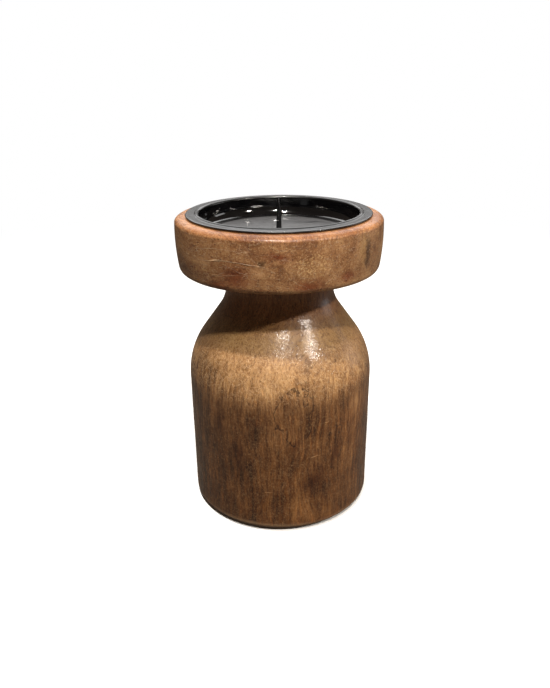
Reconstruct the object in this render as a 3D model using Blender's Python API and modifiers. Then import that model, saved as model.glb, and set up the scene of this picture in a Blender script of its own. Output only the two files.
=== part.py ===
"""A pillar candle holder: a turned wooden base and dish, with a drop-in metal pan and its spike.

Metres, +Z up. The origin is on the resting surface, in the middle of the felt pads.
"""

import math

import bpy

MM = 0.001

# Gaps left between pieces that touch on the real object.
JOINT_GAP = 0.3 * MM
RIVET_GAP = 0.15 * MM

# Felt pads under the base.
PAD_RADIUS = 6.0 * MM
PAD_THICKNESS = 1.5 * MM
PAD_EDGE = 0.3 * MM
PAD_CIRCLE_RADIUS = 33.0 * MM
PAD_COUNT = 4

# Wooden base: a straight barrel, a round shoulder, a straight slope, a cove and a neck.
BARREL_RADIUS = 46.9 * MM
FOOT_EDGE_RADIUS = 2.8 * MM
BARREL_HEIGHT = 68.0 * MM
SHOULDER_RADIUS = 39.0 * MM
SLOPE_ANGLE = 36.0
COVE_RADIUS = 21.0 * MM
NECK_RADIUS = 26.6 * MM
BASE_HEIGHT = 123.4 * MM
TENON_RADIUS = 14.0 * MM
TENON_LENGTH = 8.0 * MM
TENON_CHAMFER = 0.8 * MM

# Wooden dish: a slightly crowned side, a soft top rim, and a recess for the pan.
DISH_RADIUS = 50.0 * MM
DISH_THICKNESS = 25.4 * MM
CROWN_RADIUS = 105.0 * MM
CROWN_HEIGHT = 17.0 * MM
DISH_LOWER_EDGE_RADIUS = 3.0 * MM
RIM_LAND_RADIUS = 45.5 * MM
RIM_DROP = 2.4 * MM
RECESS_RADIUS = 40.0 * MM
RECESS_DEPTH = 11.5 * MM
RECESS_CORNER_RADIUS = 1.0 * MM
RECESS_MOUTH_CHAMFER = 0.4 * MM

# Pressed metal pan that hangs by its flange on the dish's rim. A low bead stands round its mouth.
SHEET = 0.8 * MM
FLANGE_RADIUS = 44.5 * MM
FLANGE_LIP_RADIUS = 0.5 * MM
PAN_MOUTH_RADIUS = 38.2 * MM
PAN_FLOOR_RADIUS = 37.8 * MM
PAN_DEPTH = 9.3 * MM
PAN_BEAD_RADIUS = 1.1 * MM
PAN_BEAD_HEIGHT = 0.45 * MM
PAN_BEAD_FOOT_RADIUS = 0.9 * MM
PAN_COVE_RADIUS = 4.8 * MM
PAN_DIMPLE_RADIUS = 4.2 * MM
PAN_DIMPLE_SLOPE = 0.6 * MM
PAN_DIMPLE_DEPTH = 0.2 * MM

# Spike, riveted through the middle of the pan. It is widest at its foot and narrows up to the point.
SPIKE_RADIUS = 1.0 * MM
SPIKE_FOOT_RADIUS = 1.35 * MM
SPIKE_HEIGHT = 15.4 * MM
SPIKE_TAPER = 7.0 * MM
SPIKE_TIP_RADIUS = 0.15 * MM
SPIKE_COLLAR_RADIUS = 1.85 * MM
SPIKE_COLLAR_HEIGHT = 1.1 * MM
SPIKE_HOLE_RADIUS = 1.2 * MM
RIVET_RADIUS = 2.4 * MM
RIVET_HEIGHT = 0.8 * MM

# Countersunk wood screw that holds the dish on the base.
SCREW_HEAD_RADIUS = 4.5 * MM
SCREW_HEAD_LAND = 0.4 * MM
SCREW_SINK = 0.3 * MM
SCREW_LENGTH = 40.0 * MM
SCREW_SHANK_RADIUS = 2.0 * MM
SCREW_SHANK_LENGTH = 8.0 * MM
THREAD_DEPTH = 0.7 * MM
THREAD_PITCH = 2.4 * MM
THREAD_RINGS_PER_TURN = 5
SCREW_POINT_LENGTH = 5.0 * MM
SCREW_HOLE_RADIUS = 2.6 * MM
SCREW_HOLE_SPARE_DEPTH = 2.0 * MM
DRIVE_SLOT_LENGTH = 4.8 * MM
DRIVE_SLOT_WIDTH = 1.1 * MM
DRIVE_SLOT_DEPTH = 1.6 * MM

TURNED_STEPS = 48
PAN_STEPS = 48
SPIKE_STEPS = 16
SCREW_STEPS = 12
PAD_STEPS = 24

# Heights that follow from the sizes above.
FOOT_Z = PAD_THICKNESS + JOINT_GAP
NECK_TOP_Z = FOOT_Z + BASE_HEIGHT
DISH_LOWER_Z = NECK_TOP_Z + JOINT_GAP
DISH_UPPER_Z = DISH_LOWER_Z + DISH_THICKNESS
TENON_TOP_Z = NECK_TOP_Z + TENON_LENGTH
MORTISE_TOP_Z = TENON_TOP_Z + JOINT_GAP
RECESS_FLOOR_Z = DISH_UPPER_Z - RECESS_DEPTH
FLANGE_TOP_Z = DISH_UPPER_Z + JOINT_GAP + SHEET
PAN_FLOOR_Z = FLANGE_TOP_Z - PAN_DEPTH
PAN_CENTRE_Z = PAN_FLOOR_Z - PAN_DIMPLE_DEPTH
SCREW_TOP_Z = RECESS_FLOOR_Z - SCREW_SINK
SCREW_TIP_Z = SCREW_TOP_Z - SCREW_LENGTH

BASE_WOOD = (0.24, 0.115, 0.048)
DISH_WOOD = (0.33, 0.17, 0.078)
BLACK_ENAMEL = (0.012, 0.012, 0.014)
ZINC = (0.62, 0.60, 0.55)
BLACK_FELT = (0.02, 0.019, 0.018)


def clear_scene():
    for existing in list(bpy.data.objects):
        bpy.data.objects.remove(existing, do_unlink=True)


def make_collection(name):
    collection = bpy.data.collections.new(name)
    bpy.context.scene.collection.children.link(collection)
    return collection


def make_material(name, colour, roughness, metallic):
    material = bpy.data.materials.new(name)
    material.use_nodes = True
    shader = material.node_tree.nodes["Principled BSDF"]
    shader.inputs["Base Color"].default_value = (*colour, 1.0)
    shader.inputs["Roughness"].default_value = roughness
    shader.inputs["Metallic"].default_value = metallic
    return material


def arc(centre, radius, start_angle, end_angle, steps):
    """(r, z) points along an arc: 0 degrees faces outwards and 90 degrees faces up."""
    points = []
    for step in range(steps + 1):
        angle = math.radians(start_angle + (end_angle - start_angle) * step / steps)
        points.append((centre[0] + radius * math.cos(angle), centre[1] + radius * math.sin(angle)))
    return points


def quarter_ellipse(centre, width, height, steps):
    """(r, z) points from the top of an ellipse to its outermost point."""
    points = []
    for step in range(steps + 1):
        angle = math.radians(90.0 - 90.0 * step / steps)
        points.append((centre[0] + width * math.cos(angle), centre[1] + height * math.sin(angle)))
    return points


def turned_object(name, profile, is_loop, origin_z, steps):
    """An object whose mesh is a profile of (r, z) points, turned about Z by a Screw modifier."""
    vertices = [(r, 0.0, z - origin_z) for r, z in profile]
    edges = [(index, index + 1) for index in range(len(profile) - 1)]
    if is_loop:
        edges.append((len(profile) - 1, 0))
    mesh = bpy.data.meshes.new(name)
    mesh.from_pydata(vertices, edges, [])
    turned = bpy.data.objects.new(name, mesh)
    turned.location.z = origin_z
    screw = turned.modifiers.new("turn", "SCREW")
    screw.steps = steps
    screw.render_steps = steps
    screw.use_merge_vertices = True
    screw.merge_threshold = 0.01 * MM
    screw.use_smooth_shade = True
    return turned


def keep_evaluated_mesh(thing):
    """Replaces the object's modifiers by the mesh that they make."""
    bpy.context.view_layer.update()
    evaluated = thing.evaluated_get(bpy.context.evaluated_depsgraph_get())
    mesh = bpy.data.meshes.new_from_object(evaluated)
    thing.modifiers.clear()
    thing.data = mesh
    thing.data.name = thing.name


def add_part(thing, collection, material, parent):
    """Links a part, gives it its material and parent, and shades its round faces smooth."""
    if thing.name not in collection.objects:
        collection.objects.link(thing)
    if thing.modifiers:
        keep_evaluated_mesh(thing)
    thing.data.materials.clear()
    thing.data.materials.append(material)
    thing.data.shade_smooth()
    thing.data.set_sharp_from_angle(angle=math.radians(35.0))
    thing.parent = parent
    thing.matrix_parent_inverse = parent.matrix_world.inverted()
    return thing


def base_profile():
    """The base's outline, from the bottom of its screw hole, over the tenon, down to the foot."""
    slope = math.radians(SLOPE_ANGLE)
    hole_end_z = SCREW_TIP_Z - SCREW_HOLE_SPARE_DEPTH
    barrel_top_z = FOOT_Z + BARREL_HEIGHT
    shoulder_end_r = BARREL_RADIUS - SHOULDER_RADIUS * (1.0 - math.cos(slope))
    shoulder_end_z = barrel_top_z + SHOULDER_RADIUS * math.sin(slope)
    cove_end_r = NECK_RADIUS + COVE_RADIUS * (1.0 - math.cos(slope))
    cove_end_z = shoulder_end_z + (shoulder_end_r - cove_end_r) / math.tan(slope)
    cove_centre = (NECK_RADIUS + COVE_RADIUS, cove_end_z + COVE_RADIUS * math.sin(slope))
    shoulder_centre = (BARREL_RADIUS - SHOULDER_RADIUS, barrel_top_z)
    foot_centre = (BARREL_RADIUS - FOOT_EDGE_RADIUS, FOOT_Z + FOOT_EDGE_RADIUS)
    profile = [
        (0.0, hole_end_z),
        (SCREW_HOLE_RADIUS, hole_end_z),
        (SCREW_HOLE_RADIUS, TENON_TOP_Z),
        (TENON_RADIUS - TENON_CHAMFER, TENON_TOP_Z),
        (TENON_RADIUS, TENON_TOP_Z - TENON_CHAMFER),
        (TENON_RADIUS, NECK_TOP_Z),
        (NECK_RADIUS, NECK_TOP_Z),
    ]
    profile += arc(cove_centre, COVE_RADIUS, 180.0, 180.0 + SLOPE_ANGLE, 5)
    profile += arc(shoulder_centre, SHOULDER_RADIUS, SLOPE_ANGLE, 0.0, 7)
    profile += arc(foot_centre, FOOT_EDGE_RADIUS, 0.0, -90.0, 4)
    profile.append((0.0, FOOT_Z))
    return profile


def dish_profile():
    """The dish's outline as a loop: rim, side, underside, mortise, screw hole and recess."""
    crown_z = DISH_LOWER_Z + CROWN_HEIGHT
    crown_centre = (DISH_RADIUS - CROWN_RADIUS, crown_z)
    edge_z = DISH_LOWER_Z + DISH_LOWER_EDGE_RADIUS
    lower_angle = math.degrees(math.asin((edge_z - crown_z) / (CROWN_RADIUS - DISH_LOWER_EDGE_RADIUS)))
    edge_centre = arc(crown_centre, CROWN_RADIUS - DISH_LOWER_EDGE_RADIUS, lower_angle, lower_angle, 1)[0]
    rim_z = DISH_UPPER_Z - RIM_DROP
    upper_angle = math.degrees(math.asin((rim_z - crown_z) / CROWN_RADIUS))
    side = arc(crown_centre, CROWN_RADIUS, upper_angle, lower_angle, 5)
    mouth_r = RECESS_RADIUS + RECESS_MOUTH_CHAMFER
    corner_centre = (RECESS_RADIUS - RECESS_CORNER_RADIUS, RECESS_FLOOR_Z + RECESS_CORNER_RADIUS)
    countersink_r = SCREW_HEAD_RADIUS + JOINT_GAP
    countersink_end_z = SCREW_TOP_Z - SCREW_HEAD_LAND - (countersink_r - SCREW_HOLE_RADIUS)
    profile = [(mouth_r, DISH_UPPER_Z)]
    profile += quarter_ellipse((RIM_LAND_RADIUS, rim_z), side[0][0] - RIM_LAND_RADIUS, RIM_DROP, 5)
    profile += side[1:]
    profile += arc(edge_centre, DISH_LOWER_EDGE_RADIUS, lower_angle, -90.0, 4)[1:]
    profile += [
        (TENON_RADIUS + JOINT_GAP, DISH_LOWER_Z),
        (TENON_RADIUS + JOINT_GAP, MORTISE_TOP_Z),
        (SCREW_HOLE_RADIUS, MORTISE_TOP_Z),
        (SCREW_HOLE_RADIUS, countersink_end_z),
        (countersink_r, countersink_end_z + countersink_r - SCREW_HOLE_RADIUS),
        (countersink_r, RECESS_FLOOR_Z),
    ]
    profile += arc(corner_centre, RECESS_CORNER_RADIUS, -90.0, 0.0, 3)
    profile.append((RECESS_RADIUS, DISH_UPPER_Z - RECESS_MOUTH_CHAMFER))
    return profile


def pan_profile():
    """The pan's inner face, from the edge of the spike's hole out to the rim of the flange."""
    cove_centre = (PAN_FLOOR_RADIUS - PAN_COVE_RADIUS, PAN_FLOOR_Z + PAN_COVE_RADIUS)
    bead_top_z = FLANGE_TOP_Z + PAN_BEAD_HEIGHT
    bead_centre = (PAN_MOUTH_RADIUS + PAN_BEAD_RADIUS, bead_top_z - PAN_BEAD_RADIUS)
    both_radii = PAN_BEAD_RADIUS + PAN_BEAD_FOOT_RADIUS
    slope = math.acos(1.0 - PAN_BEAD_HEIGHT / both_radii)
    foot_centre = (bead_centre[0] + both_radii * math.sin(slope), FLANGE_TOP_Z + PAN_BEAD_FOOT_RADIUS)
    slope_angle = math.degrees(slope)
    lip_centre = (FLANGE_RADIUS - FLANGE_LIP_RADIUS, FLANGE_TOP_Z - FLANGE_LIP_RADIUS)
    profile = [
        (SPIKE_HOLE_RADIUS, PAN_CENTRE_Z),
        (PAN_DIMPLE_RADIUS - PAN_DIMPLE_SLOPE, PAN_CENTRE_Z),
        (PAN_DIMPLE_RADIUS, PAN_FLOOR_Z),
    ]
    profile += arc(cove_centre, PAN_COVE_RADIUS, -90.0, 0.0, 5)
    profile += arc(bead_centre, PAN_BEAD_RADIUS, 180.0, 90.0 - slope_angle, 6)
    profile += arc(foot_centre, PAN_BEAD_FOOT_RADIUS, 270.0 - slope_angle, 270.0, 2)[1:]
    profile += arc(lip_centre, FLANGE_LIP_RADIUS, 90.0, 45.0, 1)
    return profile


def spike_profile():
    """The spike's outline, from its point, over the collar, through the pan, to the rivet's head."""
    tip_z = PAN_FLOOR_Z + SPIKE_HEIGHT
    collar_lower_z = PAN_CENTRE_Z + RIVET_GAP
    collar_round = SPIKE_COLLAR_RADIUS - SPIKE_FOOT_RADIUS
    collar_centre = (SPIKE_FOOT_RADIUS, collar_lower_z + SPIKE_COLLAR_HEIGHT - collar_round)
    shank_r = SPIKE_HOLE_RADIUS - RIVET_GAP
    rivet_upper_z = PAN_CENTRE_Z - SHEET - RIVET_GAP
    rivet_lower_z = rivet_upper_z - RIVET_HEIGHT
    profile = [
        (0.0, tip_z),
        (SPIKE_TIP_RADIUS, tip_z - SPIKE_TIP_RADIUS),
        (SPIKE_RADIUS, tip_z - SPIKE_TAPER),
    ]
    profile += arc(collar_centre, collar_round, 90.0, 0.0, 3)
    profile += [
        (SPIKE_COLLAR_RADIUS, collar_lower_z),
        (shank_r, collar_lower_z),
        (shank_r, rivet_upper_z),
        (RIVET_RADIUS, rivet_upper_z),
        (RIVET_RADIUS * 0.8, rivet_lower_z),
        (0.0, rivet_lower_z),
    ]
    return profile


def screw_profile():
    """The screw's blank: head, plain shank, rings for the thread, and the point."""
    head_lower_z = SCREW_TOP_Z - SCREW_HEAD_LAND
    shank_end_z = SCREW_TOP_Z - SCREW_SHANK_LENGTH
    point_z = SCREW_TIP_Z + SCREW_POINT_LENGTH
    ring_count = round((shank_end_z - point_z) / THREAD_PITCH * THREAD_RINGS_PER_TURN)
    profile = [
        (0.0, SCREW_TOP_Z),
        (SCREW_HEAD_RADIUS, SCREW_TOP_Z),
        (SCREW_HEAD_RADIUS, head_lower_z),
        (SCREW_SHANK_RADIUS, head_lower_z - (SCREW_HEAD_RADIUS - SCREW_SHANK_RADIUS)),
    ]
    for ring in range(ring_count + 1):
        profile.append((SCREW_SHANK_RADIUS, shank_end_z + (point_z - shank_end_z) * ring / ring_count))
    profile.append((0.0, SCREW_TIP_Z))
    return profile


def cut_thread(screw):
    """Moves the blank's points in towards the axis between the turns of a helical thread."""
    shank_end_z = SCREW_TOP_Z - SCREW_SHANK_LENGTH
    point_z = SCREW_TIP_Z + SCREW_POINT_LENGTH
    for vertex in screw.data.vertices:
        world_z = vertex.co.z + screw.location.z
        if not point_z - 0.01 * MM < world_z < shank_end_z - 0.01 * MM:
            continue
        turn = math.atan2(vertex.co.y, vertex.co.x) / (2.0 * math.pi)
        phase = (world_z / THREAD_PITCH - turn) % 1.0
        crest = abs(2.0 * phase - 1.0)
        radius = SCREW_SHANK_RADIUS + THREAD_DEPTH * (crest - 0.75) * 0.5
        scale = radius / math.hypot(vertex.co.x, vertex.co.y)
        vertex.co.x *= scale
        vertex.co.y *= scale


def make_slot_cutter(collection, turn):
    """A box that cuts one arm of the cross recess in the screw's head."""
    depth = DRIVE_SLOT_DEPTH * 2.0
    bpy.ops.mesh.primitive_cube_add(size=1.0, location=(0.0, 0.0, SCREW_TOP_Z))
    cutter = bpy.context.object
    cutter.name = f"drive_slot_cutter_{turn}"
    for vertex in cutter.data.vertices:
        vertex.co.x *= DRIVE_SLOT_LENGTH
        vertex.co.y *= DRIVE_SLOT_WIDTH
        vertex.co.z *= depth
    cutter.rotation_euler.z = math.radians(turn)
    cutter.hide_render = True
    cutter.display_type = "WIRE"
    bpy.context.collection.objects.unlink(cutter)
    collection.objects.link(cutter)
    return cutter


def make_screw(collection, cutters, material, parent):
    screw = turned_object("joint_screw", screw_profile(), False, SCREW_TOP_Z, SCREW_STEPS)
    collection.objects.link(screw)
    keep_evaluated_mesh(screw)
    cut_thread(screw)
    for turn in (0, 90):
        slot = screw.modifiers.new(f"drive_slot_{turn}", "BOOLEAN")
        slot.operation = "DIFFERENCE"
        slot.solver = "EXACT"
        slot.object = make_slot_cutter(cutters, turn)
    return add_part(screw, collection, material, parent)


def make_pan(collection, material, parent):
    pan = turned_object("candle_pan", pan_profile(), False, FLANGE_TOP_Z, PAN_STEPS)
    sheet = pan.modifiers.new("sheet", "SOLIDIFY")
    sheet.thickness = SHEET
    sheet.offset = -1.0
    sheet.use_even_offset = True
    return add_part(pan, collection, material, parent)


def make_pads(collection, material, parent):
    for number in range(1, PAD_COUNT + 1):
        angle = 2.0 * math.pi * (number - 0.5) / PAD_COUNT
        bpy.ops.mesh.primitive_cylinder_add(
            vertices=PAD_STEPS,
            radius=PAD_RADIUS,
            depth=PAD_THICKNESS,
            location=(
                PAD_CIRCLE_RADIUS * math.cos(angle),
                PAD_CIRCLE_RADIUS * math.sin(angle),
                PAD_THICKNESS / 2.0,
            ),
        )
        pad = bpy.context.object
        pad.name = f"felt_pad_{number}"
        bpy.context.collection.objects.unlink(pad)
        edge = pad.modifiers.new("edge", "BEVEL")
        edge.width = PAD_EDGE
        edge.segments = 1
        add_part(pad, collection, material, parent)


def make_empty(name, height, collection):
    empty = bpy.data.objects.new(name, None)
    empty.location.z = height
    empty.empty_display_size = 0.02
    collection.objects.link(empty)
    bpy.context.view_layer.update()
    return empty


def main():
    clear_scene()
    parts = make_collection("pillar_candle_holder")
    cutters = make_collection("cutters")
    cutters.hide_render = True

    stand = make_empty("stand_origin", 0.0, parts)
    pan_carrier = make_empty("pan_lift_axis", FLANGE_TOP_Z, parts)
    pan_carrier.parent = stand

    base_wood = make_material("base_wood", BASE_WOOD, 0.45, 0.0)
    dish_wood = make_material("dish_wood", DISH_WOOD, 0.45, 0.0)
    enamel = make_material("black_enamel", BLACK_ENAMEL, 0.18, 0.0)
    zinc = make_material("zinc", ZINC, 0.35, 1.0)
    felt = make_material("felt", BLACK_FELT, 0.95, 0.0)

    base = turned_object("wood_base", base_profile(), False, FOOT_Z, TURNED_STEPS)
    add_part(base, parts, base_wood, stand)
    dish = turned_object("top_dish", dish_profile(), True, DISH_LOWER_Z, TURNED_STEPS)
    add_part(dish, parts, dish_wood, stand)
    make_screw(parts, cutters, zinc, stand)
    make_pads(parts, felt, stand)

    make_pan(parts, enamel, pan_carrier)
    spike = turned_object("spike", spike_profile(), False, PAN_FLOOR_Z, SPIKE_STEPS)
    add_part(spike, parts, enamel, pan_carrier)


main()
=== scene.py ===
import math

import bpy
import numpy as np
from mathutils import Matrix, Vector


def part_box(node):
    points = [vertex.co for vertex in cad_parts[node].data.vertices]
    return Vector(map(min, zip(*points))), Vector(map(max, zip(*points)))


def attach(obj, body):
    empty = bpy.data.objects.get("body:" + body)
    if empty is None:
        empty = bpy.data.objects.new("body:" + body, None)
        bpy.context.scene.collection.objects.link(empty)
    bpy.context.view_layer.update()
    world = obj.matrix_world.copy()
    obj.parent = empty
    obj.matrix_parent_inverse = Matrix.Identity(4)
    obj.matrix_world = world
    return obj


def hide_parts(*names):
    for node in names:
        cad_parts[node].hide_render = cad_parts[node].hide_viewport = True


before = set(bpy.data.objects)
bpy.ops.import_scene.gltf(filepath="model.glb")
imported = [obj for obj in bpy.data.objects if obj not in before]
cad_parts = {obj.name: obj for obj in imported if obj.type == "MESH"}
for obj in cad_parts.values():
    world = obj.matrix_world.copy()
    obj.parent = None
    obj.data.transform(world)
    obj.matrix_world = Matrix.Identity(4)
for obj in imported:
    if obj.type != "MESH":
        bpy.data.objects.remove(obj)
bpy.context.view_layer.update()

MM = 0.001

# ---------------------------------------------------------------- sizes: outer ones from the frame
BASE_LOW, BASE_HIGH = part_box("wood_base")
DISH_LOW, DISH_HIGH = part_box("top_dish")
PAN_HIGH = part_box("candle_pan")[1]
SPIKE_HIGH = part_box("spike")[1]
SCREW_LOW, SCREW_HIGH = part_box("joint_screw")

FOOT_Z = BASE_LOW.z
BARREL_RADIUS = 46.9 * MM
FOOT_EDGE_RADIUS = 2.8 * MM
BARREL_TOP_Z = FOOT_Z + 68.0 * MM
SHOULDER_RADIUS = 39.0 * MM
SLOPE_ANGLE = 36.0
COVE_RADIUS = 21.0 * MM
NECK_RADIUS = 26.6 * MM
NECK_CHAMFER = 0.3 * MM
TENON_RADIUS = 14.0 * MM
TENON_CHAMFER = 0.8 * MM
TENON_TOP_Z = BASE_HIGH.z
NECK_TOP_Z = TENON_TOP_Z - 8.0 * MM
MORTISE_GAP = 0.3 * MM
SCREW_HOLE_RADIUS = 2.6 * MM
SCREW_HOLE_LOW_Z = SCREW_LOW.z - 2.0 * MM

DISH_RADIUS = 50.0 * MM
CROWN_RADIUS = 105.0 * MM
CROWN_Z = DISH_LOW.z + 17.0 * MM
DISH_EDGE_RADIUS = 3.0 * MM
RIM_LAND_RADIUS = 45.5 * MM
RIM_DROP = 2.4 * MM
RECESS_RADIUS = 40.0 * MM
RECESS_FLOOR_Z = DISH_HIGH.z - 11.5 * MM
RECESS_CORNER_RADIUS = 1.0 * MM
RECESS_MOUTH_CHAMFER = 0.4 * MM
COUNTERSINK_RADIUS = 4.8 * MM

SHEET = 0.8 * MM
PAN_BEAD_HEIGHT = 0.45 * MM
PAN_BEAD_FOOT_RADIUS = 0.9 * MM
FLANGE_TOP_Z = PAN_HIGH.z - PAN_BEAD_HEIGHT
FLANGE_RADIUS = 44.5 * MM
PAN_MOUTH_RADIUS = 38.2 * MM
PAN_FLOOR_RADIUS = 37.8 * MM
PAN_FLOOR_Z = FLANGE_TOP_Z - 9.3 * MM
PAN_COVE_RADIUS = 4.8 * MM
PAN_BEAD_RADIUS = 1.1 * MM
FLOOR_FILM_RADIUS = 33.0 * MM
DIMPLE_RADIUS = 4.2 * MM
DIMPLE_DEPTH = 0.2 * MM
SPIKE_HOLE_RADIUS = 1.2 * MM

SPIKE_RADIUS = 1.0 * MM
SPIKE_FOOT_RADIUS = 1.35 * MM
SPIKE_TAPER = 7.0 * MM
SPIKE_TIP_RADIUS = 0.15 * MM
COLLAR_RADIUS = 1.85 * MM
COLLAR_HEIGHT = 1.1 * MM
RIVET_RADIUS = 2.4 * MM
RIVET_HEIGHT = 0.8 * MM
RIVET_GAP = 0.15 * MM

SCREW_HEAD_RADIUS = 4.5 * MM
SCREW_HEAD_LAND = 0.4 * MM
SCREW_SHANK_RADIUS = 2.0 * MM
SCREW_SHANK_LENGTH = 8.0 * MM
SCREW_POINT_LENGTH = 5.0 * MM
THREAD_DEPTH = 0.7 * MM
THREAD_PITCH = 2.4 * MM
THREAD_RINGS = 180
DRIVE_SLOT = (4.8 * MM, 1.1 * MM, 3.2 * MM)

PAD_NAMES = ("felt_pad_1", "felt_pad_2", "felt_pad_3", "felt_pad_4")
PAD_EDGE = 0.3 * MM

# How fine the turned meshes are.
WOOD_SPACING = 0.8 * MM
PAN_SPACING = 0.9 * MM
SCREW_SPACING = 0.5 * MM
SPIKE_SPACING = 0.3 * MM
WIDE_SEGMENTS = 256
PAD_SEGMENTS = 96
THIN_SEGMENTS = 64

# ---------------------------------------------------------------- camera and room
CAMERA_AIM = Vector((-2.56, 0.0, 83.05)) * MM
CAMERA_DISTANCE = 330.5 * MM
CAMERA_PITCH = math.radians(22.9)
CAMERA_ROLL = math.radians(-0.65)
CAMERA_LENS = 33.3


def make_camera():
    forward = Vector((0.0, math.cos(CAMERA_PITCH), -math.sin(CAMERA_PITCH)))
    level_right = Vector((1.0, 0.0, 0.0))
    level_up = level_right.cross(forward)
    right = level_right * math.cos(CAMERA_ROLL) + level_up * math.sin(CAMERA_ROLL)
    up = right.cross(forward)
    camera = bpy.data.objects.new("camera", bpy.data.cameras.new("camera"))
    camera.data.lens = CAMERA_LENS
    camera.data.clip_start = 0.01
    camera.matrix_world = Matrix.Translation(CAMERA_AIM - forward * CAMERA_DISTANCE) @ Matrix(
        (right, up, -forward)
    ).transposed().to_4x4()
    bpy.context.scene.collection.objects.link(camera)
    bpy.context.scene.camera = camera


# Each light: its name, azimuth and elevation in degrees, then distance, width and height in metres,
# power in watts and colour. Azimuth 0 is in front, positive to the right. No height makes a round lamp.
LIGHT_AIM = Vector((0.0, 0.0, 100.0)) * MM
WHITE = (1.0, 1.0, 1.0)
LIGHTS = (
    ("lamp_top", -18.2, 72.9, 1.2, 0.07, None, 14.0, (1.0, 0.95, 0.88)),
    ("lamp_front", 7.0, 54.7, 1.3, 0.08, None, 12.5, (1.0, 0.95, 0.88)),
    ("lamp_right", 54.0, 38.6, 1.3, 0.08, None, 8.0, (1.0, 0.93, 0.84)),
    ("softbox_back", 180.0, 38.0, 1.3, 1.3, 1.05, 9.0, WHITE),
    ("softbox_right", 104.0, 4.0, 1.3, 0.5, 0.8, 2.2, WHITE),
)


def add_light(name, azimuth, elevation, distance, width, height, power, colour):
    """An area light that faces the middle of the object and that the camera doesn't see."""
    a = math.radians(azimuth)
    e = math.radians(elevation)
    direction = Vector((math.sin(a) * math.cos(e), -math.cos(a) * math.cos(e), math.sin(e)))
    light = bpy.data.lights.new(name, "AREA")
    light.size = width
    if height is None:
        light.shape = "DISK"
    else:
        light.shape = "RECTANGLE"
        light.size_y = height
    light.energy = power
    light.color = colour
    lamp = bpy.data.objects.new(name, light)
    lamp.location = LIGHT_AIM + direction * distance
    lamp.rotation_euler = direction.to_track_quat("Z", "Y").to_euler()
    lamp.visible_camera = False
    bpy.context.scene.collection.objects.link(lamp)


# ---------------------------------------------------------------- studio
PAPER_FILL = (0.11, 0.095, 0.080)
ROOM_FILL = (0.078, 0.062, 0.049)
FLOOR_RADIUS = 4.0
FLOOR_FADE = (0.28, 0.75)


def seen_or_fill(graph, fill):
    """White where the room is seen, and a dim warm colour where it only lights the object."""
    path = graph.nodes.new("ShaderNodeLightPath")
    mix = graph.nodes.new("ShaderNodeMix")
    mix.data_type = "RGBA"
    mix.inputs[6].default_value = (*fill, 1.0)
    mix.inputs[7].default_value = (*WHITE, 1.0)
    graph.links.new(path.outputs["Is Camera Ray"], mix.inputs[0])
    return mix.outputs[2]


def make_stage():
    """A round sheet of pale paper. Its far part glows like the room, so that no horizon shows."""
    bpy.ops.mesh.primitive_circle_add(vertices=96, radius=FLOOR_RADIUS, fill_type="NGON")
    floor = bpy.context.object
    floor.name = "studio_floor"
    paper = bpy.data.materials.new("studio_paper")
    paper.use_nodes = True
    tree = paper.node_tree
    tree.nodes.clear()
    coordinates = tree.nodes.new("ShaderNodeTexCoord")
    distance = tree.nodes.new("ShaderNodeVectorMath")
    distance.operation = "LENGTH"
    fade = tree.nodes.new("ShaderNodeMapRange")
    fade.interpolation_type = "SMOOTHSTEP"
    fade.inputs["From Min"].default_value = FLOOR_FADE[0]
    fade.inputs["From Max"].default_value = FLOOR_FADE[1]
    lit = tree.nodes.new("ShaderNodeBsdfDiffuse")
    glow = tree.nodes.new("ShaderNodeEmission")
    mix = tree.nodes.new("ShaderNodeMixShader")
    output = tree.nodes.new("ShaderNodeOutputMaterial")
    tree.links.new(coordinates.outputs["Object"], distance.inputs[0])
    tree.links.new(distance.outputs["Value"], fade.inputs["Value"])
    tree.links.new(seen_or_fill(tree, PAPER_FILL), lit.inputs["Color"])
    tree.links.new(seen_or_fill(tree, ROOM_FILL), glow.inputs["Color"])
    tree.links.new(fade.outputs["Result"], mix.inputs["Fac"])
    tree.links.new(lit.outputs["BSDF"], mix.inputs[1])
    tree.links.new(glow.outputs["Emission"], mix.inputs[2])
    tree.links.new(mix.outputs["Shader"], output.inputs["Surface"])
    floor.data.materials.append(paper)


def make_world():
    world = bpy.data.worlds.new("studio_world")
    bpy.context.scene.world = world
    world.use_nodes = True
    tree = world.node_tree
    tree.links.new(seen_or_fill(tree, ROOM_FILL), tree.nodes["Background"].inputs["Color"])


# ---------------------------------------------------------------- turned meshes
def arc(centre, radius, start_angle, end_angle, steps):
    angles = np.radians(np.linspace(start_angle, end_angle, steps + 1))
    return list(zip(centre[0] + radius * np.cos(angles), centre[1] + radius * np.sin(angles)))


def spaced(profile, spacing, is_loop):
    """The same outline with extra points, so that none are further apart than the spacing."""
    corners = list(profile) + ([profile[0]] if is_loop else [])
    points = []
    for start, end in zip(corners, corners[1:]):
        count = max(1, math.ceil(math.dist(start, end) / spacing))
        for step in range(count):
            t = step / count
            points.append((start[0] + (end[0] - start[0]) * t, start[1] + (end[1] - start[1]) * t))
    if not is_loop:
        points.append(corners[-1])
    return points


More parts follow.
